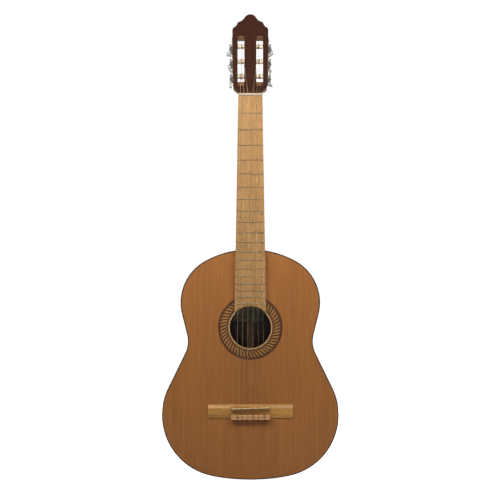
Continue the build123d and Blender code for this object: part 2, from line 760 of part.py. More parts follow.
with BuildPart() as back_binding:
    with BuildSketch(front(face_y)):
        add(rim_face(0, side_thickness))
    extrude(amount=-deep)
    under_back(0)
    over_back(binding_depth)
save(back_binding.part, "back_binding")

with BuildPart() as back:
    with BuildSketch(front(face_y)):
        add(body_face(side_thickness))
    extrude(amount=-deep)
    under_back(0)
    over_back(back_thickness)
save(back.part, "back")

with BuildPart() as side_ring:
    with BuildSketch(front(face_y + binding_depth)):
        add(rim_face(0, side_thickness))
    extrude(amount=-deep)
    under_back(binding_depth)


def end_slab(width, z):
    """A slab on the centre line, through the body's whole depth at one of its ends."""
    with BuildPart() as slab:
        with Locations((0, 0, z)):
            Box(width, 2 * deep, body_length / 6)
    return slab.part


graft_slab = end_slab(end_graft_width, 0)
web_slab = end_slab(heel_web_width, body_length)

with BuildPart() as sides:
    add(side_ring.part)
    add(graft_slab, mode=Mode.SUBTRACT)
    add(web_slab, mode=Mode.SUBTRACT)
save(sides.part, "sides")

with BuildPart() as end_graft:
    add(side_ring.part)
    add(graft_slab, mode=Mode.INTERSECT)
save(end_graft.part, "end_graft")

with BuildPart() as tail_block:
    with BuildSketch(front(face_y + top_thickness)):
        add(body_face(side_thickness))
        with Locations((0, side_thickness + tail_block_length)):
            Rectangle(tail_block_width, deep, align=(Align.CENTER, Align.MAX), mode=Mode.INTERSECT)
    extrude(amount=-deep)
    under_back(back_thickness)
save(tail_block.part, "tail_block")

# ---------------------------------------------------------------- neck with its heel and foot
heel_root_z = body_length - 8.0  # the heel's slices start inside the body, which is then cut out of them


def neck_section(z, half, depth, flat, shoulder):
    """A slice of the neck: straight sides, elliptical shoulders and a flat back."""
    with BuildSketch(Plane.XY.offset(z)) as section:
        with BuildLine():
            Line((0, face_y), (half, face_y))
            Line((half, face_y), (half, face_y + flat))
            EllipticalCenterArc((half - shoulder, face_y + flat), shoulder, depth - flat, arc_size=90)
            Line((half - shoulder, face_y + depth), (0, face_y + depth))
            mirror(about=Plane.YZ)
        make_face()
    return section.sketch


def heel_section(depth, half, rise):
    """A slice of the heel, that deep behind the neck's face: straight sides and a half round end."""
    straight_end = body_length + 0.4 * rise
    with BuildSketch(front(face_y + depth)) as section:
        with BuildLine():
            Polyline((0, heel_root_z), (half, heel_root_z), (half, straight_end))
            EllipticalCenterArc((0, straight_end), half, 0.6 * rise, arc_size=90)
            mirror(about=Plane.YZ)
        make_face()
    return section.sketch


head_root_depth = head_depth / math.cos(tilt) - veneer_rise
heel_depth_end = heel_depth - heel_cap_thickness
heel_half_end, heel_rise_end = 13.5, 17.0
foot_z, blend_z = joint_z - 10.0, nut_back_z - 30.0
flat, corner, roundness = 2.0, 1.2, 0.8  # the neck's straight edge, the head root's corner, the shoulders' share
slice_low = neck_section(foot_z, board_half(foot_z), neck_depth_joint, flat, board_half(foot_z) * roundness)
slice_high = neck_section(blend_z, board_half(blend_z), neck_depth_nut, flat, board_half(blend_z) * roundness)
slice_head = neck_section(nut_back_z, board_half(nut_back_z), head_root_depth, head_root_depth - corner, corner)

with BuildPart() as body_space:
    with BuildSketch(front(face_y - over)):
        add(body_face(0))
    extrude(amount=-deep)

# depth behind the neck's face, half width, and how far it stands out of the body
joint_half = board_joint_width / 2
heel_slices = [
    heel_section(6.0, joint_half - 2.7, 74.0),
    heel_section(20.0, joint_half - 4.7, 40.0),
    heel_section(42.0, joint_half - 11.2, 25.0),
    heel_section(heel_depth_end, heel_half_end, heel_rise_end),
]
with BuildPart() as heel:
    loft(heel_slices)

block_low = body_length - neck_block_length
with BuildPart() as foot:
    with BuildSketch(front(face_y + top_thickness)):
        add(body_face(side_thickness))
        with Locations((0, block_low - neck_foot_length)):
            Rectangle(neck_block_width, deep, align=(Align.CENTER, Align.MIN), mode=Mode.INTERSECT)
    extrude(amount=-deep)
    under_back(back_thickness)
    with Locations((0, face_y + heel_depth / 2 - neck_foot_depth, block_low)):
        above = (Align.CENTER, Align.CENTER, Align.MAX)
        Box(2 * neck_block_width, heel_depth, 2 * neck_foot_length, align=above, mode=Mode.SUBTRACT)

with BuildPart() as neck:
    loft([slice_low, slice_high], ruled=True)
    loft([slice_high, slice_head], ruled=True)
    add(heel.part)
    add(body_space.part, mode=Mode.SUBTRACT)
    add(side_ring.part & web_slab)
    add(foot.part)
save(neck.part, "neck")

with BuildPart() as heel_cap:
    with BuildSketch(front(face_y + heel_depth_end)):
        add(heel_section(heel_depth_end, heel_half_end, heel_rise_end))
    extrude(amount=-heel_cap_thickness)
    add(body_space.part, mode=Mode.SUBTRACT)
save(heel_cap.part, "heel_cap")

# ---------------------------------------------------------------- linings, braces and label
lining_edge = side_thickness + lining_width
with BuildPart() as block_room:
    with BuildSketch(front(-deep)):
        with Locations((0, side_thickness + tail_block_length)):
            Rectangle(tail_block_width, deep, align=(Align.CENTER, Align.MAX))
        with Locations((0, block_low - neck_foot_length)):
            Rectangle(neck_block_width, deep, align=(Align.CENTER, Align.MIN))
    extrude(amount=-2 * deep)

with BuildPart() as top_lining:
    with BuildSketch(front(face_y + top_thickness)):
        add(rim_face(side_thickness, lining_edge))
    extrude(amount=-lining_depth)
    add(block_room.part, mode=Mode.SUBTRACT)
save(top_lining.part, "top_lining")

with BuildPart() as back_lining:
    with BuildSketch(front(face_y)):
        add(rim_face(side_thickness, lining_edge))
    extrude(amount=-deep)
    under_back(back_thickness)
    over_back(back_thickness + lining_depth)
    add(block_room.part, mode=Mode.SUBTRACT)
save(back_lining.part, "back_lining")

with BuildPart() as cross_bars:
    for z in (hole_z + hole_bar_offset, hole_z - hole_bar_offset):
        with BuildSketch(front(face_y + top_thickness)):
            add(body_face(lining_edge))
            with Locations((0, z)):
                Rectangle(2 * lower_bout, cross_bar_width, mode=Mode.INTERSECT)
        extrude(amount=-cross_bar_height)
save(cross_bars.part, "cross_bars")

fan_top = hole_z - hole_bar_offset - cross_bar_width / 2
fan_length = fan_top - fan_bottom_z
with BuildPart() as fan_braces:
    for place in range(-(fan_count // 2), fan_count // 2 + 1):
        with BuildSketch(front(face_y + top_thickness)):
            with BuildLine():
                top_x, bottom_x = place * fan_top_pitch, place * fan_bottom_pitch
                Polyline(
                    (top_x - fan_width / 2, fan_top),
                    (top_x + fan_width / 2, fan_top),
                    (bottom_x + fan_width / 2, fan_bottom_z + fan_rise * place**2),
                    (bottom_x - fan_width / 2, fan_bottom_z + fan_rise * place**2),
                    close=True,
                )
            make_face()
        extrude(amount=-fan_height)
save(fan_braces.part, "fan_braces")

label_low = hole_z + label_over_hole
label_high = label_low + label_length
label_middle = (label_low + label_high) / 2
back_brace_z = [lower_bout_z - lower_brace_drop, waist_z - waist_brace_drop, label_high + upper_brace_gap]
with BuildPart() as back_braces:
    with BuildSketch(front(face_y)):
        for z in back_brace_z:
            with Locations((0, z)):
                Rectangle(2 * lower_bout, back_brace_width)
        add(body_face(lining_edge), mode=Mode.INTERSECT)
    extrude(amount=-deep)
    under_back(back_thickness)
    over_back(back_thickness + back_brace_height)
save(back_braces.part, "back_braces")

strip_low = side_thickness + tail_block_length
strip_high = block_low - neck_foot_length
with BuildPart() as back_strip:
    with BuildSketch(front(face_y)):
        with Locations((0, (strip_low + strip_high) / 2)):
            Rectangle(strip_width, strip_high - strip_low)
        for z in back_brace_z:
            with Locations((0, z)):
                Rectangle(2 * strip_width, back_brace_width, mode=Mode.SUBTRACT)
        with Locations((label_x, label_middle)):
            Rectangle(label_width, label_high - label_low, mode=Mode.SUBTRACT)
    extrude(amount=-deep)
    under_back(back_thickness)
    over_back(back_thickness + strip_thickness)
save(back_strip.part, "back_strip")

with BuildPart() as label:
    with BuildSketch(front(face_y)):
        with Locations((label_x, label_middle)):
            Rectangle(label_width, label_high - label_low)
    extrude(amount=-deep)
    under_back(back_thickness)
    over_back(back_thickness + label_thickness)
save(label.part, "label")
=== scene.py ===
"""A six-string classical guitar with a slotted head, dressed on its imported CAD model. Metres, +Z up."""

import bmesh
import bpy
import json
import math
import random
from mathutils import Matrix, Vector


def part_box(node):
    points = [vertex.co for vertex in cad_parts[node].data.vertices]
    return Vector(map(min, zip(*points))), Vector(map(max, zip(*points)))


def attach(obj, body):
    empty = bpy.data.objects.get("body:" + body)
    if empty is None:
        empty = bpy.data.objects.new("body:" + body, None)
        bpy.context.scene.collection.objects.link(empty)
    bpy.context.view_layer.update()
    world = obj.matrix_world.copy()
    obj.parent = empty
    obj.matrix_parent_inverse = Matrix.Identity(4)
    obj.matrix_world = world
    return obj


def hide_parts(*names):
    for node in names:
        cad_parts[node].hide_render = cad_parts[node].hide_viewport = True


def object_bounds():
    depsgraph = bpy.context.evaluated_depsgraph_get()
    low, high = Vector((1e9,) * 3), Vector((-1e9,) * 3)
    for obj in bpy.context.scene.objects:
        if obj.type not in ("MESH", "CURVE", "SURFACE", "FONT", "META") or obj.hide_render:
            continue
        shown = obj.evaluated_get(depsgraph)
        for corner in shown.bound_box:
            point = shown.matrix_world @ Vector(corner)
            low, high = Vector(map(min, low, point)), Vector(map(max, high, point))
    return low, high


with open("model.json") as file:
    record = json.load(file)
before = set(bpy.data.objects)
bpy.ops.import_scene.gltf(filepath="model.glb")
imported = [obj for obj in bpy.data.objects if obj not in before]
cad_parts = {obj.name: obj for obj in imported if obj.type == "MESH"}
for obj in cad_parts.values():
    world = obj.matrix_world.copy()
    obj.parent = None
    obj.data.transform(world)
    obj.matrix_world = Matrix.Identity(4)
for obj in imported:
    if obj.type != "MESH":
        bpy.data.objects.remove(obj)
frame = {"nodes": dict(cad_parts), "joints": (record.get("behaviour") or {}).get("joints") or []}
nodes = frame["nodes"]
cad_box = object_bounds()

# ---------------------------------------------------------------- camera, floor and light
# A long lens looks square at the soundboard from the height of the body's shoulders. The floor is a pale
# disc under a wide ceiling softbox, with two small softboxes beside the head and white beyond. A weak
# softbox high behind the lens sends a little light into the sound hole, and a wide one lights the back.
view_height = 0.4785
camera_distance = 5.0
shown_width = 1.0415
lens_data = bpy.data.cameras.new("portrait_lens")
lens_data.lens = lens_data.sensor_width * camera_distance / shown_width
camera = bpy.data.objects.new("portrait_camera", lens_data)
camera.location = (-0.0007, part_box("soundboard")[0].y - camera_distance, view_height)
camera.rotation_euler = (math.pi / 2, 0, 0)
bpy.context.scene.collection.objects.link(camera)
bpy.context.scene.camera = camera
bpy.context.scene.view_settings.view_transform = "Standard"

floor_level = cad_box[0][2] - 0.0005
floor_radius = 2.4
disc = bmesh.new()
bmesh.ops.create_circle(disc, cap_ends=True, radius=floor_radius, segments=96,
                        matrix=Matrix.Translation((0, 0, floor_level)))
floor_mesh = bpy.data.meshes.new("studio_floor")
disc.to_mesh(floor_mesh)
disc.free()
studio_floor = bpy.data.objects.new("studio_floor", floor_mesh)
bpy.context.scene.collection.objects.link(studio_floor)
floor_paint = bpy.data.materials.new("pale_floor")
floor_paint.use_nodes = True
floor_shader = floor_paint.node_tree.nodes["Principled BSDF"]
floor_shader.inputs["Base Color"].default_value = (0.40, 0.40, 0.40, 1)
floor_shader.inputs["Roughness"].default_value = 0.9
floor_shader.inputs["Emission Color"].default_value = (1, 1, 1, 1)
lit_for = floor_paint.node_tree.nodes.new("ShaderNodeLightPath")  # the floor glows for the lens alone
floor_paint.node_tree.links.new(lit_for.outputs["Is Camera Ray"], floor_shader.inputs["Emission Strength"])
floor_mesh.materials.append(floor_paint)


def soft_box(name, place, aim, width, power, tint=(1, 1, 1)):
    """A square softbox that faces a point on the guitar."""
    data = bpy.data.lights.new(name, "AREA")
    data.size = width
    data.energy = power
    data.color = tint
    lamp = bpy.data.objects.new(name, data)
    lamp.location = place
    lamp.visible_camera = False
    lamp.rotation_euler = (Vector(aim) - Vector(place)).to_track_quat("-Z", "Y").to_euler()
    bpy.context.scene.collection.objects.link(lamp)


soft_box("left_softbox", (-0.58, -0.66, 1.08), (0, 0, 0.80), 0.36, 8.4, (1.0, 0.98, 0.95))
soft_box("right_softbox", (0.58, -0.66, 1.08), (0, 0, 0.80), 0.36, 7.2, (1.0, 0.98, 0.95))
soft_box("ceiling_softbox", (0, 0, 2.7), (0, 0.001, 0), 2.8, 6)
soft_box("front_softbox", (0, -3.5, 1.6), (0, 0, 0.35), 0.6, 8)
soft_box("back_softbox", (1.1, 2.6, 1.4), (0, 0, 0.5), 1.4, 110)
world = bpy.data.worlds.new("studio_air")
world.use_nodes = True
air = world.node_tree.nodes["Background"]
air.inputs["Color"].default_value = (1, 1, 1, 1)
air.inputs["Strength"].default_value = 0.12
backdrop = world.node_tree.nodes.new("ShaderNodeBackground")
backdrop.inputs["Color"].default_value = (1, 1, 1, 1)
backdrop.inputs["Strength"].default_value = 1.05
seen = world.node_tree.nodes.new("ShaderNodeLightPath")
either = world.node_tree.nodes.new("ShaderNodeMixShader")
world.node_tree.links.new(seen.outputs["Is Camera Ray"], either.inputs[0])
world.node_tree.links.new(air.outputs[0], either.inputs[1])
world.node_tree.links.new(backdrop.outputs[0], either.inputs[2])
world.node_tree.links.new(either.outputs[0], world.node_tree.nodes["World Output"].inputs["Surface"])
bpy.context.scene.world = world

# ---------------------------------------------------------------- soundboard
# Two book-matched plates of quarter-sawn cedar, joined on the centre line, with straight dark growth lines
# that open out towards the edges. The varnish is thin and satin, and the pores show through it a little.


def wood(name, pale, dark, ring, along="Z", across="X", matched=False, wander=0.0012, contrast=1.0,
         fibre=0.5, pores=0.0, mottle=0.35, rough=0.42, coat=0.25, bump=0.25):
    """A board's material: growth lines across the board, fibres and pores along it, varnish on top.

    ring is the spacing of the growth lines in metres and wander is how far they stray. matched mirrors the
    figure about the centre line as on a book-matched pair.
    """
    material = bpy.data.materials.new(name)
    material.use_nodes = True
    tree = material.node_tree
    shader = tree.nodes["Principled BSDF"]

    def node(kind, *links, **values):
        made = tree.nodes.new(kind)
        for key, value in values.items():
            setattr(made, key, value)
        for place, link in enumerate(links):
            if isinstance(link, bpy.types.NodeSocket):
                tree.links.new(link, made.inputs[place])
            elif link is not None:
                made.inputs[place].default_value = link
        return made

    def maths(operation, *links):
        return node("ShaderNodeMath", *links, operation=operation).outputs[0]

    def noise(vector, scale, detail, roughness=0.55):
        made = node("ShaderNodeTexNoise", vector)
        made.inputs["Scale"].default_value = scale
        made.inputs["Detail"].default_value = detail
        made.inputs["Roughness"].default_value = roughness
        return made.outputs["Fac"]

    def ramp(factor, *stops):
        made = node("ShaderNodeValToRGB", factor)
        band = made.color_ramp
        while len(band.elements) < len(stops):
            band.elements.new(0.5)
        for element, (place, colour) in zip(band.elements, stops):
            element.position = place
            element.color = (*colour, 1) if isinstance(colour, tuple) else (colour, colour, colour, 1)
        return made.outputs["Color"]

    def blend(kind, factor, first, second):
        made = node("ShaderNodeMix", factor, data_type="RGBA", blend_type=kind)
        tree.links.new(first, made.inputs["A"])
        tree.links.new(second, made.inputs["B"])
        return made.outputs["Result"]

    place = node("ShaderNodeTexCoord").outputs["Object"]
    split = node("ShaderNodeSeparateXYZ", place)
    axes = dict(zip("XYZ", split.outputs))
    third = next(a for a in "XYZ" if a not in (along, across))
    side = maths("ABSOLUTE", axes[across]) if matched else axes[across]
    run_slowly = maths("MULTIPLY", axes[along], 0.045)
    flow = node("ShaderNodeCombineXYZ", side, axes[third], run_slowly).outputs[0]
    slow = node("ShaderNodeCombineXYZ", side, axes[third], maths("MULTIPLY", axes[along], 0.35)).outputs[0]

    stray = maths("MULTIPLY", maths("SUBTRACT", noise(slow, 9.0, 3.0), 0.5), wander * 8)
    widths = maths("MULTIPLY", noise(flow, 22.0, 2.0), ring * 9)
    lines = maths("FRACT", maths("DIVIDE", maths("ADD", maths("ADD", side, stray), widths), ring))
    late = ramp(lines, (0.0, 0.05), (0.55, 0.12), (0.86, 1.0), (1.0, 0.05))
    strength = maths("MULTIPLY", noise(flow, 60.0, 2.0), 1.35 * contrast)
    threads = noise(flow, 1500.0, 3.0, 0.7)
    streaks = noise(flow, 240.0, 4.0, 0.65)
    clouds = noise(slow, 14.0, 4.0)
    low = tuple(c * (1 - 0.42 * mottle) for c in pale)
    ground = ramp(clouds, (0.30, low), (0.70, pale))
    line_tint = node("ShaderNodeRGB").outputs[0]
    line_tint.default_value = (*dark, 1)
    colour = blend("MIX", maths("MULTIPLY", late, strength), ground, line_tint)
    shade = ramp(streaks, (0.30, 1 - 0.45 * fibre), (0.68, 1.0 + 0.12 * fibre))
    colour = blend("MULTIPLY", 1.0, colour, shade)
    colour = blend("MULTIPLY", 1.0, colour, ramp(threads, (0.30, 1 - 0.35 * fibre), (0.62, 1.0)))
    height = maths("ADD", threads, maths("MULTIPLY", late, -0.6))
    if pores:
        pits = noise(flow, 2600.0, 1.0, 0.4)
        open_pores = ramp(pits, (0.34 + 0.08 * (1 - pores), 0.0), (0.46, 1.0))
        colour = blend("MULTIPLY", 0.75 * pores, colour, open_pores)
        height = maths("ADD", height, open_pores)
    tree.links.new(colour, shader.inputs["Base Color"])
    gloss = node("ShaderNodeMapRange", streaks)
    gloss.inputs["To Min"].default_value = rough - 0.07
    gloss.inputs["To Max"].default_value = rough + 0.10
    tree.links.new(gloss.outputs[0], shader.inputs["Roughness"])
    relief = node("ShaderNodeBump")
    relief.inputs["Strength"].default_value = bump
    relief.inputs["Distance"].default_value = 0.00012
    tree.links.new(height, relief.inputs["Height"])
    tree.links.new(relief.outputs[0], shader.inputs["Normal"])
    shader.inputs["Coat Weight"].default_value = coat
    shader.inputs["Coat Roughness"].default_value = 0.16
    return material


def finish_with(material, *names):
    """Gives CAD nodes one material, in place of the plain one that they come with."""
    for name in names:
        nodes[name].data.materials.clear()
        nodes[name].data.materials.append(material)


finish_with(wood("cedar_top", (0.455, 0.172, 0.034), (0.205, 0.062, 0.009), 0.0026, matched=True,
                 wander=0.0009, fibre=0.45, mottle=0.25, rough=0.40, coat=0.20, bump=0.2), "soundboard")

# ---------------------------------------------------------------- rosette
# A wreath of twisted rope let into the soundboard round the sound hole: dark walnut ground between two
# narrow borders, with a strand of lighter wood for each turn of the rope. A pale ring edges the hole
# itself.
ring_low, ring_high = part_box("soundhole_ring")
hole_middle = (ring_low + ring_high) / 2
ring_outside = (ring_high.x - ring_low.x) / 2
wreath_low, wreath_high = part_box("rosette")
wreath_outside = (wreath_high.x - wreath_low.x) / 2
board_face = wreath_low.y
wreath_back = wreath_high.y
strand_count = 52
strand_middle = ring_outside + 0.0098
strand_reach = 0.0072
strand_half_width = 0.0017
strand_twist = math.radians(5.4)
strand_lift, strand_thickness = 0.00004, 0.0002


def new_piece(name, mesh, body, *materials, smooth=True):
    """Turns a finished bmesh into an object that rides on a body of the guitar."""
    data = bpy.data.meshes.new(name)
    mesh.to_mesh(data)
    mesh.free()
    if smooth:
        data.shade_smooth()
    for material in materials:
        data.materials.append(material)
    piece = bpy.data.objects.new(name, data)
    bpy.context.scene.collection.objects.link(piece)
    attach(piece, body)
    return piece


wreath = bmesh.new()
corners = [(ring_outside, board_face), (wreath_outside, board_face), (wreath_outside, wreath_back),
           (ring_outside, wreath_back)]
profile = [wreath.verts.new((hole_middle.x + r, y, hole_middle.z)) for r, y in corners]
loop = [wreath.edges.new((profile[i], profile[(i + 1) % 4])) for i in range(4)]
bmesh.ops.spin(wreath, geom=profile + loop, cent=hole_middle, axis=(0, 1, 0), angle=math.tau, steps=160,
               use_merge=True)
bmesh.ops.remove_doubles(wreath, verts=wreath.verts, dist=1e-6)
bmesh.ops.recalc_face_normals(wreath, faces=wreath.faces)
walnut_ground = wood("walnut_ground", (0.120, 0.040, 0.007), (0.060, 0.020, 0.004), 0.0016, wander=0.003,
                     fibre=0.8, pores=0.5, rough=0.36, coat=0.35)
wreath_ground = new_piece("rosette_ground", wreath, "guitar", walnut_ground, smooth=False)
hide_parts("rosette")

random.seed(7)
strands = bmesh.new()
for turn in range(strand_count):
    start = math.tau * turn / strand_count + random.uniform(-0.006, 0.006)
    breadth = strand_half_width * random.uniform(0.85, 1.12)
    blade = bmesh.ops.create_grid(strands, x_segments=14, y_segments=2, size=1.0)["verts"]
    for vert in blade:
        run, across = vert.co.x, vert.co.y
        radius = strand_middle - strand_reach * math.sin(run * math.pi / 2)
        taper = math.sqrt(max(0.0, 1 - run**2)) * 0.86 + 0.10
        angle = start + strand_twist * (1.15 * run - 0.16 * math.sin(math.pi * run))
        angle += across * breadth * taper / radius
        vert.co = (hole_middle.x - radius * math.cos(angle), board_face - strand_lift,
                   hole_middle.z + radius * math.sin(angle))
rope_wood = wood("rope_strand_wood", (0.560, 0.260, 0.070), (0.320, 0.130, 0.030), 0.0013, wander=0.003,
                 fibre=0.7, rough=0.38, coat=0.35)
bmesh.ops.recalc_face_normals(strands, faces=strands.faces)
lifted = bmesh.ops.extrude_face_region(strands, geom=strands.faces[:])["geom"]
lifted_corners = [part for part in lifted if isinstance(part, bmesh.types.BMVert)]
bmesh.ops.translate(strands, vec=(0, strand_thickness, 0), verts=lifted_corners)
bmesh.ops.recalc_face_normals(strands, faces=strands.faces)
rope_strands = new_piece("rosette_rope_strands", strands, "guitar", rope_wood, smooth=False)
finish_with(wood("pale_ring_wood", (0.560, 0.330, 0.150), (0.400, 0.210, 0.085), 0.0018, fibre=0.4,
                 rough=0.38), "soundhole_ring")

# ---------------------------------------------------------------- body: back, sides, bindings and linings
# The back and sides are dark reddish rosewood, bent and glued to spruce linings, under a full gloss
# varnish. Narrow strips of almost black wood bind both edges and fill the joint at the tail.
rosewood_back = wood("rosewood_back", (0.135, 0.048, 0.025), (0.030, 0.010, 0.006), 0.0042, matched=True,
                     wander=0.0042, fibre=0.7, pores=0.8, mottle=0.8, rough=0.24, coat=0.6, bump=0.15)
rosewood_side = wood("rosewood_side", (0.135, 0.048, 0.025), (0.030, 0.010, 0.006), 0.0042, along="Z",
                     across="Y", wander=0.0036, fibre=0.7, pores=0.8, mottle=0.8, rough=0.24, coat=0.6,
                     bump=0.15)
bound_edge = wood("ebonised_binding", (0.042, 0.020, 0.013), (0.014, 0.007, 0.005), 0.0012, fibre=0.5,
                  pores=0.4, rough=0.22, coat=0.5, bump=0.1)
bare_spruce = wood("bare_spruce", (0.560, 0.370, 0.190), (0.380, 0.210, 0.090), 0.0019, fibre=0.5,
                   mottle=0.2, rough=0.62, coat=0.0, bump=0.35)
finish_with(rosewood_back, "back")
finish_with(rosewood_side, "sides")
finish_with(bound_edge, "top_binding", "back_binding", "end_graft")
finish_with(bare_spruce, "top_lining", "back_lining", "cross_bars", "fan_braces", "back_braces",
            "back_strip", "tail_block")

# ---------------------------------------------------------------- label
# A blank slip of laid paper glued to the back under the sound hole, gone yellow and a little stained.


def stained_paper(name):
    material = bpy.data.materials.new(name)
    material.use_nodes = True
    tree = material.node_tree
    shader = tree.nodes["Principled BSDF"]
    place = tree.nodes.new("ShaderNodeTexCoord")
    stain = tree.nodes.new("ShaderNodeTexNoise")
    stain.inputs["Scale"].default_value = 60
    stain.inputs["Detail"].default_value = 5
    fibres = tree.nodes.new("ShaderNodeTexNoise")
    fibres.inputs["Scale"].default_value = 2200
    tones = tree.nodes.new("ShaderNodeValToRGB")
    tones.color_ramp.elements[0].position = 0.35
    tones.color_ramp.elements[0].color = (0.52, 0.47, 0.33, 1)
    tones.color_ramp.elements[1].position = 0.62
    tones.color_ramp.elements[1].color = (0.72, 0.68, 0.54, 1)
    relief = tree.nodes.new("ShaderNodeBump")
    relief.inputs["Strength"].default_value = 0.3
    relief.inputs["Distance"].default_value = 0.00005
    for texture in (stain, fibres):
        tree.links.new(place.outputs["Object"], texture.inputs["Vector"])
    tree.links.new(stain.outputs["Fac"], tones.inputs["Fac"])
    tree.links.new(tones.outputs["Color"], shader.inputs["Base Color"])
    tree.links.new(fibres.outputs["Fac"], relief.inputs["Height"])
    tree.links.new(relief.outputs["Normal"], shader.inputs["Normal"])
    shader.inputs["Roughness"].default_value = 0.85
    return material


finish_with(stained_paper("aged_label_paper"), "label")

# ---------------------------------------------------------------- neck, heel and head
# One length of light brown cedar runs from the foot inside the body through the heel and shaft to the
# head, with a satin finish under the player's hand. The head's face wears a veneer of the back's rosewood,
# polished.
neck_cedar = wood("neck_cedar", (0.330, 0.155, 0.066), (0.185, 0.074, 0.028), 0.0034, across="Y",
                  wander=0.0022, fibre=0.6, pores=0.7, mottle=0.35, rough=0.40, coat=0.25, bump=0.2)
finish_with(neck_cedar, "neck", "headstock")
finish_with(rosewood_back, "heel_cap")
polished_veneer = wood("rosewood_veneer", (0.064, 0.017, 0.006), (0.020, 0.006, 0.002), 0.0036,
                       wander=0.0052, fibre=0.6, pores=0.7, mottle=0.9, rough=0.38, coat=0.10, bump=0.15)
polished_veneer.node_tree.nodes["Principled BSDF"].inputs["Specular IOR Level"].default_value = 0.2
finish_with(polished_veneer, "head_veneer")

# ---------------------------------------------------------------- fretboard and frets
# A board of oiled light hardwood with short dark pores along it, slotted for nineteen crowned frets of a
# yellowish nickel silver that the strings have polished.
finish_with(wood("fretboard_wood", (0.620, 0.345, 0.120), (0.420, 0.210, 0.065), 0.0040, wander=0.0036,
                 contrast=0.5, fibre=0.6, pores=0.6, mottle=0.2, rough=0.46, coat=0.12, bump=0.3),
            "fretboard")


def metal(name, colour, rough, dull, dulled, scale=220.0):
    """A polished metal with soft patches of tarnish and fine rubbing marks."""
    material = bpy.data.materials.new(name)
    material.use_nodes = True
    tree = material.node_tree
    shader = tree.nodes["Principled BSDF"]
    place = tree.nodes.new("ShaderNodeTexCoord")
    patches = tree.nodes.new("ShaderNodeTexNoise")
    patches.inputs["Scale"].default_value = scale
    patches.inputs["Detail"].default_value = 5
    scratches = tree.nodes.new("ShaderNodeTexNoise")
    scratches.inputs["Scale"].default_value = scale * 12
    tones = tree.nodes.new("ShaderNodeValToRGB")
    tones.color_ramp.elements[0].position = 0.62 - dulled * 0.3
    tones.color_ramp.elements[0].color = (*colour, 1)
    tones.color_ramp.elements[1].position = 0.78 - dulled * 0.1
    tones.color_ramp.elements[1].color = (*dull, 1)
    gloss = tree.nodes.new("ShaderNodeMapRange")
    gloss.inputs["From Min"].default_value = 0.3
    gloss.inputs["From Max"].default_value = 0.8
    gloss.inputs["To Min"].default_value = rough * 0.8
    gloss.inputs["To Max"].default_value = rough * 1.9
    relief = tree.nodes.new("ShaderNodeBump")
    relief.inputs["Strength"].default_value = 0.12
    relief.inputs["Distance"].default_value = 0.00003
    for texture in (patches, scratches):
        tree.links.new(place.outputs["Object"], texture.inputs["Vector"])
    tree.links.new(patches.outputs["Fac"], tones.inputs["Fac"])
    tree.links.new(tones.outputs["Color"], shader.inputs["Base Color"])
    tree.links.new(patches.outputs["Fac"], gloss.inputs["Value"])
    tree.links.new(gloss.outputs[0], shader.inputs["Roughness"])
    tree.links.new(scratches.outputs["Fac"], relief.inputs["Height"])
    tree.links.new(relief.outputs["Normal"], shader.inputs["Normal"])
    shader.inputs["Metallic"].default_value = 1.0
    return material


finish_with(metal("fret_nickel_silver", (0.52, 0.41, 0.26), 0.30, (0.34, 0.25, 0.14), 0.4), "frets")

# ---------------------------------------------------------------- nut and saddle
# Both are cut from bleached ox bone: cream, faintly streaked along their length, and polished where
# strings cross. The saddle's copy is painted lighter and more golden than the nut's, a painted highlight
# where the light falls on it, and the nut's copy is darker.


def bone(name, pale, streak, rough=0.30):
    material = bpy.data.materials.new(name)
    material.use_nodes = True
    tree = material.node_tree
    shader = tree.nodes["Principled BSDF"]
    place = tree.nodes.new("ShaderNodeTexCoord")
    stretch = tree.nodes.new("ShaderNodeMapping")
    stretch.inputs["Scale"].default_value = (60, 900, 900)
    streaks = tree.nodes.new("ShaderNodeTexNoise")
    streaks.inputs["Scale"].default_value = 1.0
    streaks.inputs["Detail"].default_value = 4
    tones = tree.nodes.new("ShaderNodeValToRGB")
    tones.color_ramp.elements[0].position = 0.30
    tones.color_ramp.elements[0].color = (*streak, 1)
    tones.color_ramp.elements[1].position = 0.62
    tones.color_ramp.elements[1].color = (*pale, 1)
    relief = tree.nodes.new("ShaderNodeBump")
    relief.inputs["Strength"].default_value = 0.15
    relief.inputs["Distance"].default_value = 0.00004
    tree.links.new(place.outputs["Object"], stretch.inputs["Vector"])
    tree.links.new(stretch.outputs["Vector"], streaks.inputs["Vector"])
    tree.links.new(streaks.outputs["Fac"], tones.inputs["Fac"])
    tree.links.new(tones.outputs["Color"], shader.inputs["Base Color"])
    tree.links.new(streaks.outputs["Fac"], relief.inputs["Height"])
    tree.links.new(relief.outputs["Normal"], shader.inputs["Normal"])
    shader.inputs["Roughness"].default_value = rough
    shader.inputs["Subsurface Weight"].default_value = 0.15
    shader.inputs["Subsurface Scale"].default_value = 0.002
    return material


finish_with(bone("nut_bone", (0.52, 0.40, 0.30), (0.40, 0.28, 0.19)), "nut")
# the saddle's bone colour is a painted highlight: lighter and more golden than the nut's bone
finish_with(bone("saddle_bone_painted_highlight", (0.79, 0.62, 0.38), (0.62, 0.43, 0.23)), "saddle")

# ---------------------------------------------------------------- bridge
# A golden hardwood bridge with rounded wings, its grain across the guitar. A cap of pinker wood covers the
# tie block so that the strings don't cut it, with two small dark dots let in between the strings.
golden_bridge = wood("golden_bridge_wood", (0.760, 0.370, 0.070), (0.500, 0.215, 0.034), 0.0030, along="X",
                     across="Z", wander=0.003, fibre=0.6, pores=0.5, mottle=0.5, rough=0.32, coat=0.45)
finish_with(golden_bridge, "bridge")
finish_with(wood("pink_cap_wood", (0.900, 0.480, 0.205), (0.680, 0.330, 0.125), 0.0022, along="X",
                 across="Z", fibre=0.6, pores=0.4, rough=0.36, coat=0.35), "tie_block_cap")
finish_with(wood("dark_dot_wood", (0.060, 0.028, 0.018), (0.020, 0.010, 0.007), 0.0010, rough=0.3),
            "bridge_dots")

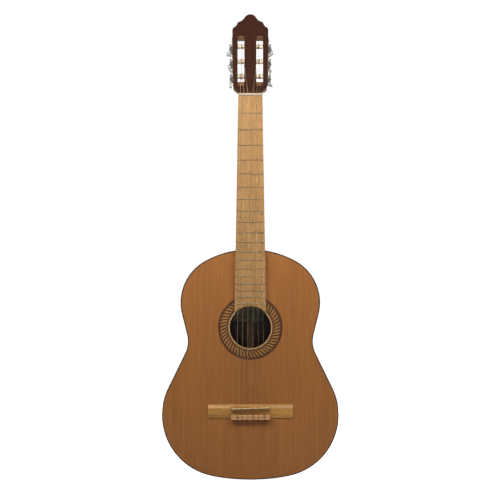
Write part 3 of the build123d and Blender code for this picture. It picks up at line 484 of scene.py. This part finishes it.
# ---------------------------------------------------------------- strings
# Three clear nylon trebles and three basses wound with fine copper wire. Each runs from the tie block over
# the saddle and nut to its roller, and lies on it in a few close turns before it goes through the roller's
# hole.
string_radii = (0.00036, 0.00041, 0.00051, 0.00037, 0.00045, 0.00054)


def nylon(name):
    material = bpy.data.materials.new(name)
    material.use_nodes = True
    tree = material.node_tree
    shader = tree.nodes["Principled BSDF"]
    place = tree.nodes.new("ShaderNodeTexCoord")
    clouds = tree.nodes.new("ShaderNodeTexNoise")
    clouds.inputs["Scale"].default_value = 90
    tones = tree.nodes.new("ShaderNodeValToRGB")
    tones.color_ramp.elements[0].color = (0.56, 0.40, 0.22, 1)
    tones.color_ramp.elements[1].color = (0.70, 0.55, 0.35, 1)
    tree.links.new(place.outputs["Object"], clouds.inputs["Vector"])
    tree.links.new(clouds.outputs["Fac"], tones.inputs["Fac"])
    tree.links.new(tones.outputs["Color"], shader.inputs["Base Color"])
    shader.inputs["Roughness"].default_value = 0.18
    shader.inputs["Transmission Weight"].default_value = 0.8
    shader.inputs["IOR"].default_value = 1.53
    return material


def wound_wire(name):
    """Copper winding: fine ridges across the string, brighter on their crests than between them."""
    material = metal(name, (0.52, 0.36, 0.22), 0.34, (0.30, 0.19, 0.10), 0.25, 120.0)
    tree = material.node_tree
    place = tree.nodes.new("ShaderNodeTexCoord")
    ridges = tree.nodes.new("ShaderNodeTexWave")
    ridges.bands_direction = "Z"
    ridges.inputs["Scale"].default_value = 1100
    ridges.inputs["Distortion"].default_value = 0.0
    relief = tree.nodes.new("ShaderNodeBump")
    relief.inputs["Strength"].default_value = 0.8
    relief.inputs["Distance"].default_value = 0.00008
    tree.links.new(place.outputs["Object"], ridges.inputs["Vector"])
    tree.links.new(ridges.outputs["Fac"], relief.inputs["Height"])
    tree.links.new(relief.outputs["Normal"], tree.nodes["Principled BSDF"].inputs["Normal"])
    return material


clear_nylon = nylon("clear_nylon")
copper_winding = wound_wire("copper_winding")
finish_with(clear_nylon, "string_1", "string_2", "string_3")
finish_with(copper_winding, "string_4", "string_5", "string_6")

joints = {joint["name"]: joint for joint in frame["joints"]}
head_out = -Vector(joints["key_turn_1"]["axis"])


def string_tube(name, points, radius, body, material):
    """A length of string along a smooth line through a few points, with closed ends."""
    line = bpy.data.curves.new(name, "CURVE")
    line.dimensions = "3D"
    line.bevel_depth = radius
    line.bevel_resolution = 3
    line.use_fill_caps = True
    spline = line.splines.new("NURBS")
    spline.points.add(len(points) - 1)
    for knot, point in zip(spline.points, points):
        knot.co = (*point, 1)
    spline.order_u = 3
    spline.use_endpoint_u = True
    spline.resolution_u = 4
    holder = bpy.data.objects.new(name + "_line", line)
    bpy.context.scene.collection.objects.link(holder)
    bpy.context.view_layer.update()
    data = bpy.data.meshes.new_from_object(holder.evaluated_get(bpy.context.evaluated_depsgraph_get()))
    bpy.data.objects.remove(holder)
    data.name = name
    data.shade_smooth()
    data.materials.clear()
    data.materials.append(material)
    piece = bpy.data.objects.new(name, data)
    bpy.context.scene.collection.objects.link(piece)
    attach(piece, body)
    return piece


roller_surface = 0.0049
lie = 0.00005  # a turn's gap from what it lies on
turns_on_roller, steps_in_turn = 2.75, 24
first_touch = 75  # degrees round the roller from its front, where the string starts to lie on it
for number, thickness in enumerate(string_radii, start=1):
    material = clear_nylon if number <= 3 else copper_winding
    turning = joints[f"roller_turn_{number}"]
    axle = Vector(turning["axis"])
    inward = -axle if number <= 3 else axle
    ends = sorted((v.co for v in nodes[f"string_{number}"].data.vertices), key=lambda co: co.z)[-12:]
    landing = sum(ends, Vector()) / len(ends)
    centre = Vector(turning["pos_m"])
    centre += axle * (landing - centre).dot(axle)
    up_head = head_out.cross(axle).normalized()
    if up_head.z < 0:
        up_head = -up_head
    gap = (landing - centre).dot(head_out)
    seat = roller_surface + thickness + lie

    def on_roller(angle, radius, shift):
        return centre + (head_out * math.cos(angle) + up_head * math.sin(angle)) * radius + inward * shift

    lead = [landing] + [on_roller(math.radians(a), gap + (seat - gap) * a / first_touch, 0)
                        for a in (first_touch / 3, 2 * first_touch / 3, first_touch)]
    lead_in = string_tube(f"string_lead_{number}", lead, thickness, "guitar", material)
    steps = int(turns_on_roller * steps_in_turn)
    pitch = 2 * thickness + lie
    coil = [on_roller(math.radians(first_touch) + math.tau * done, seat, pitch * done)
            for done in (turns_on_roller * k / steps for k in range(steps + 1))]
    last = coil[-1]
    out = (last - centre - inward * (last - centre).dot(inward)).normalized()
    coil += [last + inward * 0.0006 - out * 0.0008, last + inward * 0.0008 - out * 0.003]
    winding = string_tube(f"string_winding_{number}", coil, thickness, f"roller_{number}", material)

# ---------------------------------------------------------------- tie knots
# Behind the saddle each string comes out of the back of the tie block, goes over the cap, round its own
# standing part and back under itself, and its short end is left pointing down.
cap_low, cap_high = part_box("tie_block_cap")
for number, thickness in enumerate(string_radii, start=1):
    material = clear_nylon if number <= 3 else copper_winding
    ends = sorted((v.co for v in nodes[f"string_{number}"].data.vertices), key=lambda co: co.z)[:12]
    hole = sum(ends, Vector()) / len(ends)
    over = cap_low.y - thickness - lie
    back_of = cap_low.z - thickness - 0.0002
    front_of = cap_high.z + thickness + 0.0002
    x, w = hole.x, 1.15 * 2 * thickness
    knot = [
        (x, hole.y, hole.z), (x, hole.y, back_of - 0.0006), (x + 0.2 * w, hole.y - 0.001, back_of - 0.0012),
        (x + 0.4 * w, over + 0.001, back_of - 0.0004), (x + 0.5 * w, over - 0.0001, cap_low.z + 0.0008),
        (x + 0.8 * w, over, cap_high.z - 0.002), (x + 0.9 * w, over + 0.0002, front_of - 0.0003),
        (x + 0.9 * w, over + 0.0016, front_of + 0.0006), (x, over + 0.0026, front_of + 0.0012),
        (x - 0.9 * w, over + 0.0016, front_of + 0.0006), (x - 0.9 * w, over + 0.0002, front_of - 0.0003),
        (x - 0.7 * w, over, cap_high.z - 0.0025), (x - 0.4 * w, over - 0.0002, cap_low.z + 0.0032),
        (x + 0.4 * w, over - 2 * thickness - 0.0001, cap_low.z + 0.0014),
        (x + 1.4 * w, over - 0.0001, cap_low.z + 0.0006), (x + 1.9 * w, over + 0.0008, back_of - 0.0004),
        (x + 2.1 * w, over + 0.0030, back_of - 0.0008),
    ]
    tied = string_tube(f"tie_knot_{number}", knot, thickness, "guitar", material)

# ---------------------------------------------------------------- tuning machines
# Pressed and polished plates carry the worms between upright lugs. Each steel worm turns a nickel-plated
# gear fixed to a cream roller, and ends in a button of grey mother-of-pearl plastic. Small round-headed
# screws hold the plates.
finish_with(metal("plate_nickel", (0.62, 0.59, 0.54), 0.20, (0.33, 0.30, 0.26), 0.55), "tuner_plates",
            "worm_lugs")
finish_with(metal("screw_steel", (0.56, 0.55, 0.53), 0.26, (0.35, 0.33, 0.30), 0.4), "plate_screws")
worm_steel = metal("worm_steel", (0.64, 0.63, 0.61), 0.18, (0.36, 0.34, 0.31), 0.45)
gear_nickel = metal("gear_nickel", (0.66, 0.63, 0.57), 0.24, (0.38, 0.35, 0.30), 0.5)
roller_cream = bone("cream_roller", (0.86, 0.80, 0.66), (0.78, 0.69, 0.52), 0.22)


def pearl(name):
    """Cast pearl plastic: grey and cream flakes that lie in soft cells under a clear gloss."""
    material = bpy.data.materials.new(name)
    material.use_nodes = True
    tree = material.node_tree
    shader = tree.nodes["Principled BSDF"]
    place = tree.nodes.new("ShaderNodeTexCoord")
    drift = tree.nodes.new("ShaderNodeTexNoise")
    drift.inputs["Scale"].default_value = 130
    drift.inputs["Detail"].default_value = 3
    drift.inputs["Distortion"].default_value = 2.5
    cells = tree.nodes.new("ShaderNodeTexVoronoi")
    cells.inputs["Scale"].default_value = 260
    tones = tree.nodes.new("ShaderNodeValToRGB")
    tones.color_ramp.elements[0].position = 0.32
    tones.color_ramp.elements[0].color = (0.40, 0.40, 0.38, 1)
    tones.color_ramp.elements[1].position = 0.66
    tones.color_ramp.elements[1].color = (0.78, 0.77, 0.72, 1)
    layer = tree.nodes.new("ShaderNodeMix")
    layer.data_type = "RGBA"
    layer.blend_type = "SOFT_LIGHT"
    layer.inputs["Factor"].default_value = 0.6
    tree.links.new(place.outputs["Object"], drift.inputs["Vector"])
    tree.links.new(place.outputs["Object"], cells.inputs["Vector"])
    tree.links.new(drift.outputs["Fac"], tones.inputs["Fac"])
    tree.links.new(tones.outputs["Color"], layer.inputs["A"])
    tree.links.new(cells.outputs["Color"], layer.inputs["B"])
    grey = tree.nodes.new("ShaderNodeHueSaturation")
    grey.inputs["Saturation"].default_value = 0.25
    tree.links.new(layer.outputs["Result"], grey.inputs["Color"])
    tree.links.new(grey.outputs["Color"], shader.inputs["Base Color"])
    shader.inputs["Roughness"].default_value = 0.22
    shader.inputs["Coat Weight"].default_value = 0.6
    shader.inputs["Coat Roughness"].default_value = 0.08
    shader.inputs["Metallic"].default_value = 0.15
    return material


pearl_button = pearl("pearl_button")
for number in range(1, 7):
    finish_with(worm_steel, f"worm_{number}")
    finish_with(gear_nickel, f"gear_{number}")
    finish_with(roller_cream, f"roller_{number}")
    finish_with(pearl_button, f"button_{number}")
